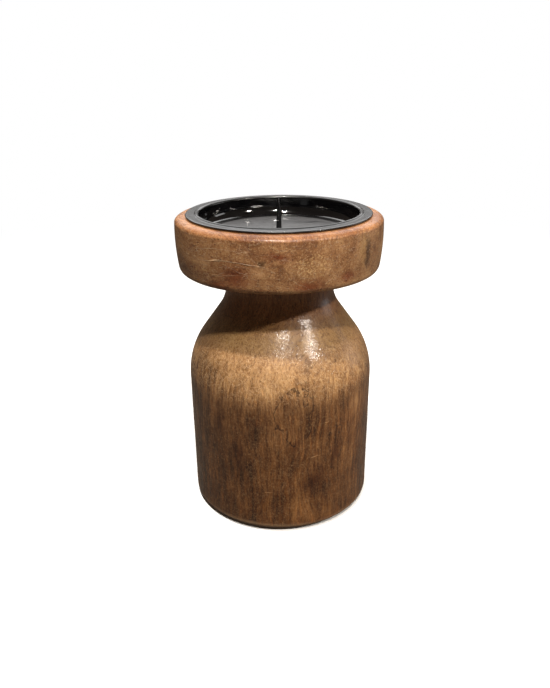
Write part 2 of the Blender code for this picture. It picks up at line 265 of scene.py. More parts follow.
def turned_mesh(name, profile, is_loop, segments, wobble=None):
    """Turns a profile about Z. A point on the axis becomes one vertex, and wobble moves the others."""
    rings = []
    vertices = []
    angles = 2.0 * np.pi * np.arange(segments) / segments
    for r, z in profile:
        if r < 1e-7:
            rings.append([len(vertices)] * segments)
            vertices.append((0.0, 0.0, z))
            continue
        radii = np.full(segments, r)
        if wobble is not None:
            radii = radii + wobble(angles, r, z)
        rings.append(list(range(len(vertices), len(vertices) + segments)))
        vertices.extend(zip(radii * np.cos(angles), radii * np.sin(angles), np.full(segments, z)))
    pairs = list(zip(rings, rings[1:] + rings[:1] if is_loop else rings[1:]))
    faces = []
    for upper, lower in pairs:
        for i in range(segments):
            j = (i + 1) % segments
            corners = [upper[i], lower[i], lower[j], upper[j]]
            faces.append(list(dict.fromkeys(corners)))
    mesh = bpy.data.meshes.new(name)
    mesh.from_pydata(vertices, [], faces)
    mesh.validate()
    mesh.shade_smooth()
    mesh.set_sharp_from_angle(angle=math.radians(32.0))
    return mesh


def place(name, mesh, material, body, node):
    piece = bpy.data.objects.new(name, mesh)
    bpy.context.scene.collection.objects.link(piece)
    mesh.materials.append(material)
    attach(piece, body)
    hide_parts(node)
    return piece


def base_profile():
    """(r, z) points of the base: the screw's hole, the tenon, the turned side and the underside."""
    slope = math.radians(SLOPE_ANGLE)
    shoulder_end_r = BARREL_RADIUS - SHOULDER_RADIUS * (1.0 - math.cos(slope))
    shoulder_end_z = BARREL_TOP_Z + SHOULDER_RADIUS * math.sin(slope)
    cove_end_r = NECK_RADIUS + COVE_RADIUS * (1.0 - math.cos(slope))
    cove_end_z = shoulder_end_z + (shoulder_end_r - cove_end_r) / math.tan(slope)
    cove_centre = (NECK_RADIUS + COVE_RADIUS, cove_end_z + COVE_RADIUS * math.sin(slope))
    shoulder_centre = (BARREL_RADIUS - SHOULDER_RADIUS, BARREL_TOP_Z)
    foot_centre = (BARREL_RADIUS - FOOT_EDGE_RADIUS, FOOT_Z + FOOT_EDGE_RADIUS)
    profile = [
        (0.0, SCREW_HOLE_LOW_Z),
        (SCREW_HOLE_RADIUS, SCREW_HOLE_LOW_Z),
        (SCREW_HOLE_RADIUS, TENON_TOP_Z),
        (TENON_RADIUS - TENON_CHAMFER, TENON_TOP_Z),
        (TENON_RADIUS, TENON_TOP_Z - TENON_CHAMFER),
        (TENON_RADIUS, NECK_TOP_Z),
        (NECK_RADIUS - NECK_CHAMFER, NECK_TOP_Z),
        (NECK_RADIUS, NECK_TOP_Z - NECK_CHAMFER),
    ]
    profile += arc(cove_centre, COVE_RADIUS, 180.0, 180.0 + SLOPE_ANGLE, 24)
    profile += arc(shoulder_centre, SHOULDER_RADIUS, SLOPE_ANGLE, 0.0, 40)
    profile += arc(foot_centre, FOOT_EDGE_RADIUS, 0.0, -90.0, 12)
    profile.append((0.0, FOOT_Z))
    return profile


def dish_profile():
    """A closed loop of (r, z) points: the rim, the side, the underside, the mortise and the recess."""
    edge_z = DISH_LOW.z + DISH_EDGE_RADIUS
    inner_crown = CROWN_RADIUS - DISH_EDGE_RADIUS
    lower_angle = math.degrees(math.asin((edge_z - CROWN_Z) / inner_crown))
    crown_centre = (DISH_RADIUS - CROWN_RADIUS, CROWN_Z)
    edge_centre = arc(crown_centre, inner_crown, lower_angle, lower_angle, 1)[0]
    rim_z = DISH_HIGH.z - RIM_DROP
    upper_angle = math.degrees(math.asin((rim_z - CROWN_Z) / CROWN_RADIUS))
    side = arc(crown_centre, CROWN_RADIUS, upper_angle, lower_angle, 40)
    rim_width = side[0][0] - RIM_LAND_RADIUS
    rim = [
        (RIM_LAND_RADIUS + rim_width * math.cos(a), rim_z + RIM_DROP * math.sin(a))
        for a in np.radians(np.linspace(90.0, 0.0, 14))
    ]
    corner = (RECESS_RADIUS - RECESS_CORNER_RADIUS, RECESS_FLOOR_Z + RECESS_CORNER_RADIUS)
    sink_z = SCREW_HIGH.z - SCREW_HEAD_LAND
    mortise_radius = TENON_RADIUS + MORTISE_GAP
    mortise_top_z = TENON_TOP_Z + MORTISE_GAP
    profile = [(RECESS_RADIUS + RECESS_MOUTH_CHAMFER, DISH_HIGH.z)] + rim + side[1:]
    profile += arc(edge_centre, DISH_EDGE_RADIUS, lower_angle, -90.0, 12)[1:]
    profile += [
        (mortise_radius, DISH_LOW.z),
        (mortise_radius, mortise_top_z),
        (SCREW_HOLE_RADIUS, mortise_top_z),
        (SCREW_HOLE_RADIUS, sink_z - (COUNTERSINK_RADIUS - SCREW_HOLE_RADIUS)),
        (COUNTERSINK_RADIUS, sink_z),
        (COUNTERSINK_RADIUS, RECESS_FLOOR_Z),
    ]
    profile += arc(corner, RECESS_CORNER_RADIUS, -90.0, 0.0, 6)
    profile.append((RECESS_RADIUS, DISH_HIGH.z - RECESS_MOUTH_CHAMFER))
    return profile


def pan_profile():
    """A closed loop: the pan's inner face out to the lip, then its outer face back to the hole."""
    cove_centre = (PAN_FLOOR_RADIUS - PAN_COVE_RADIUS, PAN_FLOOR_Z + PAN_COVE_RADIUS)
    bead_centre = (PAN_MOUTH_RADIUS + PAN_BEAD_RADIUS, PAN_HIGH.z - PAN_BEAD_RADIUS)
    both_radii = PAN_BEAD_RADIUS + PAN_BEAD_FOOT_RADIUS
    slope = math.acos(1.0 - PAN_BEAD_HEIGHT / both_radii)
    foot_r = bead_centre[0] + both_radii * math.sin(slope)
    foot_centre = (foot_r, FLANGE_TOP_Z + PAN_BEAD_FOOT_RADIUS)
    slope_angle = math.degrees(slope)
    lip_centre = (FLANGE_RADIUS - SHEET / 2.0, FLANGE_TOP_Z - SHEET / 2.0)
    hole_z = PAN_FLOOR_Z - DIMPLE_DEPTH
    inner = [
        (SPIKE_HOLE_RADIUS, hole_z),
        (DIMPLE_RADIUS - 0.6 * MM, hole_z),
        (DIMPLE_RADIUS - 0.15 * MM, PAN_FLOOR_Z - 0.04 * MM),
        (DIMPLE_RADIUS + 0.2 * MM, PAN_FLOOR_Z),
    ]
    inner += arc(cove_centre, PAN_COVE_RADIUS, -90.0, 0.0, 20)
    inner += arc(bead_centre, PAN_BEAD_RADIUS, 180.0, 90.0 - slope_angle, 16)
    inner += arc(foot_centre, PAN_BEAD_FOOT_RADIUS, 270.0 - slope_angle, 270.0, 6)[1:]
    lip = arc(lip_centre, SHEET / 2.0, 90.0, -90.0, 10)
    outer = arc(foot_centre, PAN_BEAD_FOOT_RADIUS + SHEET, 270.0, 270.0 - slope_angle, 6)
    outer += arc(bead_centre, PAN_BEAD_RADIUS - SHEET, 90.0 - slope_angle, 180.0, 8)[1:]
    outer += arc(cove_centre, PAN_COVE_RADIUS + SHEET, 0.0, -90.0, 14)
    outer += [
        (DIMPLE_RADIUS + 0.2 * MM, PAN_FLOOR_Z - SHEET),
        (DIMPLE_RADIUS - 0.6 * MM, hole_z - SHEET),
        (SPIKE_HOLE_RADIUS, hole_z - SHEET),
    ]
    return inner + lip + outer


def spike_profile():
    """From the spike's point, over its collar and through the pan, to the rivet's head."""
    collar_low_z = PAN_FLOOR_Z - DIMPLE_DEPTH + RIVET_GAP
    round_r = COLLAR_RADIUS - SPIKE_FOOT_RADIUS
    collar_centre = (SPIKE_FOOT_RADIUS, collar_low_z + COLLAR_HEIGHT - round_r)
    rivet_high_z = PAN_FLOOR_Z - DIMPLE_DEPTH - SHEET - RIVET_GAP
    rivet_low_z = rivet_high_z - RIVET_HEIGHT
    shank_r = SPIKE_HOLE_RADIUS - RIVET_GAP
    profile = [
        (0.0, SPIKE_HIGH.z),
        (SPIKE_TIP_RADIUS * 0.7, SPIKE_HIGH.z - SPIKE_TIP_RADIUS * 0.3),
        (SPIKE_TIP_RADIUS, SPIKE_HIGH.z - SPIKE_TIP_RADIUS),
        (SPIKE_RADIUS * 0.97, SPIKE_HIGH.z - SPIKE_TAPER + 0.3 * MM),
        (SPIKE_RADIUS, SPIKE_HIGH.z - SPIKE_TAPER),
    ]
    profile += arc(collar_centre, round_r, 90.0, 0.0, 10)
    profile += [
        (COLLAR_RADIUS, collar_low_z),
        (shank_r, collar_low_z),
        (shank_r, rivet_high_z),
        (RIVET_RADIUS, rivet_high_z),
    ]
    for a in np.radians(np.linspace(10.0, 80.0, 8)):
        profile.append((RIVET_RADIUS * math.cos(a), rivet_high_z - RIVET_HEIGHT * math.sin(a)))
    profile.append((0.0, rivet_low_z))
    return profile


def screw_profile():
    """Head, plain shank, close rings for the thread, and the point."""
    land_z = SCREW_HIGH.z - SCREW_HEAD_LAND
    cone_low_z = land_z - (SCREW_HEAD_RADIUS - SCREW_SHANK_RADIUS)
    thread_top_z = SCREW_HIGH.z - SCREW_SHANK_LENGTH
    thread_low_z = SCREW_LOW.z + SCREW_POINT_LENGTH
    profile = [
        (0.0, SCREW_HIGH.z),
        (SCREW_HEAD_RADIUS - 0.15 * MM, SCREW_HIGH.z),
        (SCREW_HEAD_RADIUS, SCREW_HIGH.z - 0.12 * MM),
        (SCREW_HEAD_RADIUS, land_z),
        (SCREW_SHANK_RADIUS + 0.3 * MM, cone_low_z + 0.3 * MM),
        (SCREW_SHANK_RADIUS, cone_low_z - 0.4 * MM),
    ]
    for ring_z in np.linspace(thread_top_z, thread_low_z, THREAD_RINGS + 1):
        profile.append((SCREW_SHANK_RADIUS, float(ring_z)))
    profile.append((0.0, SCREW_LOW.z))
    return profile


def thread_shift(angles, r, z):
    """How far the screw's surface moves out or in, to leave a helical thread."""
    top_z = SCREW_HIGH.z - SCREW_SHANK_LENGTH
    low_z = SCREW_LOW.z + SCREW_POINT_LENGTH
    if not low_z - 0.01 * MM < z < top_z - 0.01 * MM:
        return np.zeros(len(angles))
    phase = (z / THREAD_PITCH - angles / (2.0 * np.pi)) % 1.0
    crest = np.clip(np.abs(2.0 * phase - 1.0) * 2.2 - 1.2, 0.0, 1.0)
    fade = min(1.0, (top_z - z) / THREAD_PITCH)
    return THREAD_DEPTH * (crest * 0.125 * fade - 0.375 * (1.0 - crest) * fade)


def base_wobble(angles, r, z):
    """The slight unevenness of a hand-turned barrel, up to 0.12 mm and always inwards."""
    if r < 20.0 * MM or z > NECK_TOP_Z - 1.0 * MM or z < FOOT_Z + 1.0 * MM:
        return np.zeros(len(angles))
    wave = np.sin(2.0 * angles + 0.9) + 0.6 * np.sin(3.0 * angles + z * 90.0)
    wave += 0.4 * np.sin(7.0 * angles + z * 160.0)
    return -0.03 * MM * (2.0 + wave)


def dish_wobble(angles, r, z):
    """The same for the dish's side."""
    if r < RIM_LAND_RADIUS or z < DISH_LOW.z + 1.0 * MM:
        return np.zeros(len(angles))
    wave = np.sin(2.0 * angles + 2.1) + 0.5 * np.sin(5.0 * angles + z * 130.0)
    wave += 0.4 * np.sin(9.0 * angles + z * 220.0)
    return -0.024 * MM * (2.7 + wave)


def cut_cross_recess(screw):
    """Cuts the two arms of the drive out of the screw's head."""
    cutters = []
    for turn in (20.0, 110.0):
        bpy.ops.mesh.primitive_cube_add(size=1.0, location=(0.0, 0.0, SCREW_HIGH.z))
        cutter = bpy.context.object
        cutter.scale = DRIVE_SLOT
        cutter.rotation_euler.z = math.radians(turn)
        cut = screw.modifiers.new("cross_recess", "BOOLEAN")
        cut.operation = "DIFFERENCE"
        cut.solver = "EXACT"
        cut.object = cutter
        cutters.append(cutter)
    bpy.context.view_layer.update()
    evaluated = screw.evaluated_get(bpy.context.evaluated_depsgraph_get())
    cut_mesh = bpy.data.meshes.new_from_object(evaluated)
    screw.modifiers.clear()
    screw.data = cut_mesh
    for cutter in cutters:
        bpy.data.objects.remove(cutter)


def pad_mesh(name, low, high, seed):
    """A felt disc with a rough, slightly frayed edge. It stays inside the CAD pad."""
    draw = np.random.default_rng(seed)
    radius = (high.x - low.x) / 2.0
    top = (high.z - low.z) / 2.0
    rings = [(r * MM, top) for r in np.arange(0.0, radius / MM - 0.5, 0.4)]
    side = arc((radius - PAD_EDGE, top - PAD_EDGE), PAD_EDGE, 90.0, 0.0, 3)
    side += [(radius, z) for z in np.linspace(top - PAD_EDGE, -top + PAD_EDGE, 5)[1:-1]]
    side += arc((radius - PAD_EDGE, -top + PAD_EDGE), PAD_EDGE, 0.0, -90.0, 3)
    under = [(r, -top) for r, _ in reversed(rings)]
    mesh = turned_mesh(name, rings + side + under, False, PAD_SEGMENTS)
    for vertex in mesh.vertices:
        if math.hypot(vertex.co.x, vertex.co.y) > radius * 0.9:
            fray = 1.0 - 0.018 * draw.random()
            vertex.co.x *= fray
            vertex.co.y *= fray
        vertex.co.z *= 1.0 - 0.07 * draw.random()
    return mesh


# ---------------------------------------------------------------- material nodes
class Graph:
    """Adds nodes to one material and joins them. Every length in it is in millimetres."""

    def __init__(self, name):
        self.material = bpy.data.materials.new(name)
        self.material.use_nodes = True
        self.tree = self.material.node_tree
        self.shader = self.tree.nodes["Principled BSDF"]

    def feed(self, socket, value):
        """Joins an output to a socket, or sets the socket to a number, a vector or a colour."""
        if isinstance(value, bpy.types.NodeSocket):
            self.tree.links.new(value, socket)
        else:
            socket.default_value = value

    def finish(self, **sockets):
        for name, value in sockets.items():
            self.feed(self.shader.inputs[name.replace("_", " ")], value)
        return self.material

    def position(self):
        """The point on the piece, in millimetres."""
        coordinates = self.tree.nodes.new("ShaderNodeTexCoord")
        return self.vector("SCALE", coordinates.outputs["Object"], scale=1.0 / MM)

    def vector(self, operation, first, second=None, scale=None):
        node = self.tree.nodes.new("ShaderNodeVectorMath")
        node.operation = operation
        self.feed(node.inputs[0], first)
        if second is not None:
            self.feed(node.inputs[1], second)
        if scale is not None:
            self.feed(node.inputs["Scale"], scale)
        return node.outputs["Value" if operation in ("LENGTH", "DOT_PRODUCT") else "Vector"]

    def turn(self, vector, axis, degrees):
        node = self.tree.nodes.new("ShaderNodeVectorRotate")
        node.rotation_type = axis + "_AXIS"
        self.feed(node.inputs["Vector"], vector)
        node.inputs["Angle"].default_value = math.radians(degrees)
        return node.outputs["Vector"]

    def height(self, vector):
        node = self.tree.nodes.new("ShaderNodeSeparateXYZ")
        self.feed(node.inputs["Vector"], vector)
        return node.outputs["Z"]

    def math(self, operation, first, second=0.0, third=0.0):
        node = self.tree.nodes.new("ShaderNodeMath")
        node.operation = operation
        for socket, value in zip(node.inputs, (first, second, third)):
            self.feed(socket, value)
        return node.outputs["Value"]

    def noise(self, vector, size, detail=3.0, roughness=0.55, distortion=0.0):
        """Noise between about 0.25 and 0.75. size is the grain size along each axis, in millimetres."""
        stretched = self.vector("DIVIDE", vector, size)
        node = self.tree.nodes.new("ShaderNodeTexNoise")
        self.feed(node.inputs["Vector"], stretched)
        node.inputs["Scale"].default_value = 1.0
        node.inputs["Detail"].default_value = detail
        node.inputs["Roughness"].default_value = roughness
        node.inputs["Distortion"].default_value = distortion
        return node.outputs["Fac"]

    def cells(self, vector, size):
        """Distance to the nearest of scattered points, 0 at the point. size as in noise."""
        stretched = self.vector("DIVIDE", vector, size)
        node = self.tree.nodes.new("ShaderNodeTexVoronoi")
        self.feed(node.inputs["Vector"], stretched)
        node.inputs["Scale"].default_value = 1.0
        return node.outputs["Distance"]

    def span(self, value, low, high, to_low=0.0, to_high=1.0, smooth=True):
        """Maps a value from one range to another, and stops it at the ends."""
        node = self.tree.nodes.new("ShaderNodeMapRange")
        node.interpolation_type = "SMOOTHSTEP" if smooth else "LINEAR"
        ends = {"From Min": low, "From Max": high, "To Min": to_low, "To Max": to_high}
        for name, number in ends.items():
            node.inputs[name].default_value = number
        self.feed(node.inputs["Value"], value)
        return node.outputs["Result"]

    def ramp(self, value, stops):
        node = self.tree.nodes.new("ShaderNodeValToRGB")
        elements = node.color_ramp.elements
        while len(elements) < len(stops):
            elements.new(0.5)
        for element, (place_on_ramp, colour) in zip(elements, stops):
            element.position = place_on_ramp
            element.color = (*colour, 1.0)
        self.feed(node.inputs["Fac"], value)
        return node.outputs["Color"]

    def mix(self, factor, first, second, blend="MIX"):
        node = self.tree.nodes.new("ShaderNodeMix")
        node.data_type = "RGBA"
        node.blend_type = blend
        self.feed(node.inputs[0], factor)
        for socket, value in ((node.inputs[6], first), (node.inputs[7], second)):
            self.feed(socket, (*value, 1.0) if isinstance(value, tuple) else value)
        return node.outputs[2]

    def bump(self, height, depth, normal=None):
        """Height from 0 to 1 stands for this many millimetres."""
        node = self.tree.nodes.new("ShaderNodeBump")
        node.inputs["Strength"].default_value = 1.0
        node.inputs["Distance"].default_value = depth * MM
        self.feed(node.inputs["Height"], height)
        if normal is not None:
            self.feed(node.inputs["Normal"], normal)
        return node.outputs["Normal"]

    def total(self, *parts):
        """The sum of pairs of a value and its weight."""
        result = 0.0
        for value, weight in parts:
            result = self.math("MULTIPLY_ADD", value, weight, result)
        return result

    def sway(self, value, noise, amount):
        """The value, moved up and down by a noise whose middle is 0.5."""
        return self.math("MULTIPLY_ADD", self.math("SUBTRACT", noise, 0.5), amount, value)

    def moved(self, vector, direction, amount):
        """The vector, moved along a direction."""
        return self.vector("ADD", vector, self.vector("SCALE", direction, scale=amount))

    def wander(self, vector, noise, amount):
        """The vector, moved to and fro along the diagonal by a noise whose middle is 0.5."""
        return self.moved(vector, (1.0, 1.0, 1.0), self.sway(0.0, noise, amount))

    def paint(self, colour, other, mask, strength=1.0):
        """The colour, with the other one laid over it where the mask is 1."""
        return self.mix(self.math("MULTIPLY", mask, strength), colour, other)

    def tint(self, colour, factors, mask, strength=1.0):
        """The colour, multiplied by the factors where the mask is 1."""
        return self.mix(self.math("MULTIPLY", mask, strength), colour, factors, "MULTIPLY")

    def band(self, value, centre, inner, outer, rest=0.0):
        """1 while the value is within inner of the centre, falling to rest at outer."""
        off_centre = self.math("ABSOLUTE", self.math("SUBTRACT", value, centre))
        return self.span(off_centre, inner, outer, 1.0, rest)

    def reach(self, vector, centre, radii):
        """Distance from a centre, where 1 is the edge of an ellipsoid with these radii."""
        offset = self.vector("SUBTRACT", vector, centre)
        return self.vector("LENGTH", self.vector("DIVIDE", offset, radii))

    def patch(self, vector, centre, radii, soft=0.5):
        """1 inside an ellipsoid, falling to 0 at its edge."""
        return self.span(self.reach(vector, centre, radii), 1.0 - soft, 1.0, 1.0, 0.0)

    def rim_line(self, vector, centre, radii, width):
        """1 along the edge of an ellipsoid, 0 elsewhere."""
        return self.band(self.reach(vector, centre, radii), 1.0, 0.0, width)


def on_side(azimuth, height, radius):
    """A point on a turned surface, in millimetres. Azimuth 0 is in front, positive to the right."""
    angle = math.radians(azimuth)
    return (radius * math.sin(angle), -radius * math.cos(angle), height)


def join_masks(graph, masks):
    total = masks[0]
    for mask in masks[1:]:
        total = graph.math("MAXIMUM", total, mask)
    return total


# ---------------------------------------------------------------- wood
BARK = (0.030, 0.012, 0.005)
KNOT = (0.066, 0.028, 0.010)

# The marks lie about this far from the axis, in millimetres.
BARREL_SIDE = 47.0
DISH_SIDE = 50.0

# Marks on the barrel and on the dish: azimuth in degrees, then height, half width and half height in
# millimetres. A scratch has only a half width.
BASE_CRACKS = (
    (7.5, 65.0, 8.5, 14.5),
    (34.0, 45.0, 3.0, 12.0),
    (160.0, 60.0, 6.0, 16.0),
    (-95.0, 55.0, 5.0, 14.0),
)
BASE_STAINS = (
    (-26.0, 42.0, 6.5, 21.0),
    (-38.0, 60.0, 5.0, 16.0),
    (8.0, 50.0, 4.5, 7.0),
    (20.0, 30.0, 8.0, 14.0),
    (33.0, 40.0, 4.0, 14.0),
    (118.0, 46.0, 8.0, 30.0),
    (-130.0, 38.0, 8.0, 28.0),
    (190.0, 50.0, 7.0, 26.0),
)
BASE_SCRATCHES = (
    (20.0, 43.0, 3.4),
    (-8.0, 24.0, 2.6),
    (27.0, 60.0, 2.0),
    (-120.0, 50.0, 4.0),
    (150.0, 35.0, 3.5),
)
DISH_STAINS = (
    (-23.0, 133.0, 13.0, 10.0),
    (-33.0, 128.0, 12.0, 6.0),
    (-1.0, 142.5, 10.0, 3.6),
    (14.0, 129.0, 13.0, 4.0),
    (36.0, 131.0, 8.0, 4.0),
    (100.0, 134.0, 13.0, 6.0),
    (-160.0, 137.0, 15.0, 5.0),
)


def hairlines(graph, vector, size, seed_shift, width):
    """1 along thin wandering lines, 0 elsewhere: the level lines of a noise."""
    shifted = graph.vector("ADD", vector, (seed_shift, seed_shift * 0.7, seed_shift * 1.3))
    return graph.band(graph.noise(shifted, size, 2.0, 0.5, 0.6), 0.5, 0.0, width)


def side_patches(graph, vector, marks, radius, depth):
    """1 inside the marks on a turned side."""
    patches = []
    for azimuth, height, width, tall in marks:
        centre = on_side(azimuth, height, radius)
        patches.append(graph.patch(vector, centre, (width, depth, tall), 0.95))
    return join_masks(graph, patches)


def base_wood():
    """Upright grain: pale on the shoulder with some painted light, a painted shade on the neck under
    the dish, and darker and redder down the barrel, partly painted shade.
    """
    g = Graph("base_wood_grain")
    point = g.position()
    height = g.height(point)
    drift = g.noise(point, (26.0, 26.0, 60.0), 2.0)
    bent = g.moved(point, (1.0, 0.7, 0.0), g.math("MULTIPLY", drift, 14.0))
    figure = g.noise(bent, (13.0, 13.0, 110.0), 2.0)
    streak = g.noise(bent, (2.2, 2.2, 30.0), 5.0, 0.66)
    fibre = g.noise(bent, (0.85, 0.85, 6.5), 4.0, 0.75)
    fleck = g.noise(point, (0.8, 0.8, 1.0), 3.0, 0.75)
    cloud = g.noise(point, (17.0, 17.0, 19.0), 3.0)
    pore = g.cells(bent, (1.5, 1.5, 7.5))

    # The ground colour, from the dark barrel to the pale shoulder, with its larger patches. The
    # darkening down the barrel is partly painted shade, and the paler shoulder and right side are
    # partly painted light.
    tone = g.total((figure, 0.26), (cloud, 0.28), (streak, 0.46))
    lower = g.ramp(tone, [(0.38, (0.026, 0.008, 0.002)), (0.45, (0.072, 0.025, 0.007)),
                          (0.52, (0.145, 0.059, 0.018)), (0.61, (0.250, 0.118, 0.042))])
    upper = g.ramp(tone, [(0.36, (0.225, 0.110, 0.045)), (0.45, (0.330, 0.170, 0.070)),
                          (0.54, (0.410, 0.222, 0.096)), (0.66, (0.520, 0.305, 0.145))])
    ragged = g.sway(g.sway(height, streak, 12.0), cloud, 24.0)
    # Painted light: a lighter patch on the right of the barrel, where the right lamp falls.
    painted_light_side = g.patch(point, on_side(50.0, 58.0, BARREL_SIDE), (24.0, 24.0, 36.0), 0.95)
    pale_and_lit_upper = g.span(g.math("MULTIPLY_ADD", painted_light_side, 8.0, ragged), 63.0, 97.0)
    colour = g.mix(pale_and_lit_upper, lower, upper)
    colour = g.tint(colour, (1.70, 1.65, 1.55), painted_light_side, 0.6)
    # A greener band below the dish, partly the wood's tone and partly painted shade of the dish.
    olive_tone_and_shade = g.span(g.sway(height, cloud, 12.0), 90.0, 97.0)
    colour = g.tint(colour, (0.86, 0.93, 0.80), olive_tone_and_shade, 0.8)
    # Painted shade: the neck darkens and reddens under the dish.
    colour = g.tint(colour, (0.76, 0.57, 0.50), g.span(height, 98.0, 110.0))
    # Painted shade on the right shoulder, where the right lights fall strongly.
    painted_shade_shoulder = g.patch(point, on_side(48.0, 97.0, 38.0), (20.0, 20.0, 13.0), 0.95)
    colour = g.tint(colour, (0.70, 0.64, 0.50), painted_shade_shoulder, 0.8)
    # Darker towards the bottom of the barrel, partly painted shade.
    colour = g.tint(colour, (0.80, 0.71, 0.58), g.span(ragged, 24.0, 56.0, 1.0, 0.0))
    # Painted light: the right edge of the barrel made lighter.
    painted_light_edge = g.patch(point, on_side(84.0, 45.0, BARREL_SIDE), (14.0, 24.0, 50.0), 0.95)
    colour = g.tint(colour, (1.70, 1.60, 1.45), painted_light_edge, 0.7)
    # A brighter band on the shoulder, partly painted light.
    colour = g.tint(colour, (1.17, 1.22, 1.20), g.band(ragged, 84.5, 3.0, 10.0))

    # Fibres, flecks, pores and strands.
    colour = g.tint(colour, (0.36, 0.26, 0.20), g.span(fibre, 0.34, 0.58, 0.75, 0.0))
    pale_fleck = g.mix(0.22, colour, (0.66, 0.42, 0.20))
    colour = g.paint(colour, pale_fleck, g.span(fleck, 0.52, 0.66, 0.0, 0.6))
    pores = g.span(pore, 0.08, 0.24, 1.0, 0.0)
    colour = g.paint(colour, BARK, pores, 0.50)
    strand = g.noise(bent, (1.3, 1.3, 18.0), 3.0, 0.6)
    on_barrel = g.math("MULTIPLY_ADD", painted_light_side, -0.55, g.span(height, 70.0, 92.0, 1.0, 0.15))
    on_barrel = g.math("MAXIMUM", on_barrel, 0.1)
    dark_strands = g.math("MULTIPLY", g.span(strand, 0.56, 0.68), on_barrel)
    colour = g.tint(colour, (0.42, 0.32, 0.27), dark_strands, 0.75)
    pale_strands = g.math("MULTIPLY", g.span(strand, 0.44, 0.34), on_barrel)
    colour = g.tint(colour, (1.65, 1.55, 1.40), pale_strands, 0.55)

    # Pale hairs where the shoulder cuts across the grain.
    coarse_hairs = hairlines(g, point, (2.6, 2.6, 3.4), 0.0, 0.022)
    fine_hairs = hairlines(g, point, (1.7, 1.7, 2.1), 31.0, 0.026)
    on_shoulder = g.band(height, 84.0, 5.0, 17.0, 0.22)
    hairs = g.math("MULTIPLY", join_masks(g, [coarse_hairs, fine_hairs]), on_shoulder)
    colour = g.paint(colour, g.mix(0.5, colour, (0.78, 0.52, 0.28)), hairs, 0.75)

    # Cracks, one straight split, stains, scratches, and painted bounce light on the edge of the foot.
    fray = g.noise(point, (4.0, 4.0, 9.0), 3.0, 0.6)
    frayed = g.wander(point, fray, 11.0)
    cracks = []
    for azimuth, crack_z, width, length in BASE_CRACKS:
        centre = on_side(azimuth, crack_z, BARREL_SIDE)
        cracks.append(g.rim_line(frayed, centre, (width, 8.0, length), 0.075))
    broken = g.span(g.noise(point, (3.0, 3.0, 6.0), 2.0), 0.40, 0.52)
    crack = g.math("MULTIPLY", join_masks(g, cracks), broken)
    split = g.patch(g.wander(point, fray, 2.75), on_side(18.0, 70.0, 46.8), (0.55, 2.0, 9.0), 0.8)
    crack = g.math("MAXIMUM", crack, split)
    colour = g.paint(colour, BARK, crack, 0.8)
    stains = side_patches(g, frayed, BASE_STAINS, BARREL_SIDE, 10.0)
    colour = g.tint(colour, (0.36, 0.24, 0.19), stains, 0.85)
    slightly_frayed = g.wander(point, fray, 1.65)
    scratches = []
    for azimuth, scratch_z, length in BASE_SCRATCHES:
        centre = on_side(azimuth, scratch_z, 46.8)
        scratches.append(g.patch(slightly_frayed, centre, (length, 2.0, 0.35), 0.8))
    scratch = join_masks(g, scratches)
    colour = g.paint(colour, (0.46, 0.26, 0.12), scratch, 0.55)
    # Painted bounce light: the foot's edge made paler, as if lit from the floor.
    painted_bounce_light = g.span(g.sway(height, cloud, 4.0), 2.4, 6.0, 0.55, 0.0)
    colour = g.mix(painted_bounce_light, colour, (0.52, 0.33, 0.19))

    grain = g.total((fibre, 0.7), (fleck, 1.0), (pores, -0.7), (crack, -1.2), (scratch, -0.6),
                    (hairs, 0.5))
    relief = g.bump(grain, 0.11)
    lacquer = g.bump(g.noise(point, (1.5, 1.5, 1.8), 2.0), 0.11, g.bump(grain, 0.03))
    rough = g.span(g.noise(point, (2.0, 2.0, 6.0), 2.0), 0.3, 0.7, 0.36, 0.58)
    g.shader.inputs["Specular IOR Level"].default_value = 0.35
    g.shader.inputs["Coat Weight"].default_value = 0.40
    g.shader.inputs["Coat Roughness"].default_value = 0.15
    return g.finish(Base_Color=colour, Roughness=rough, Normal=relief, Coat_Normal=lacquer)


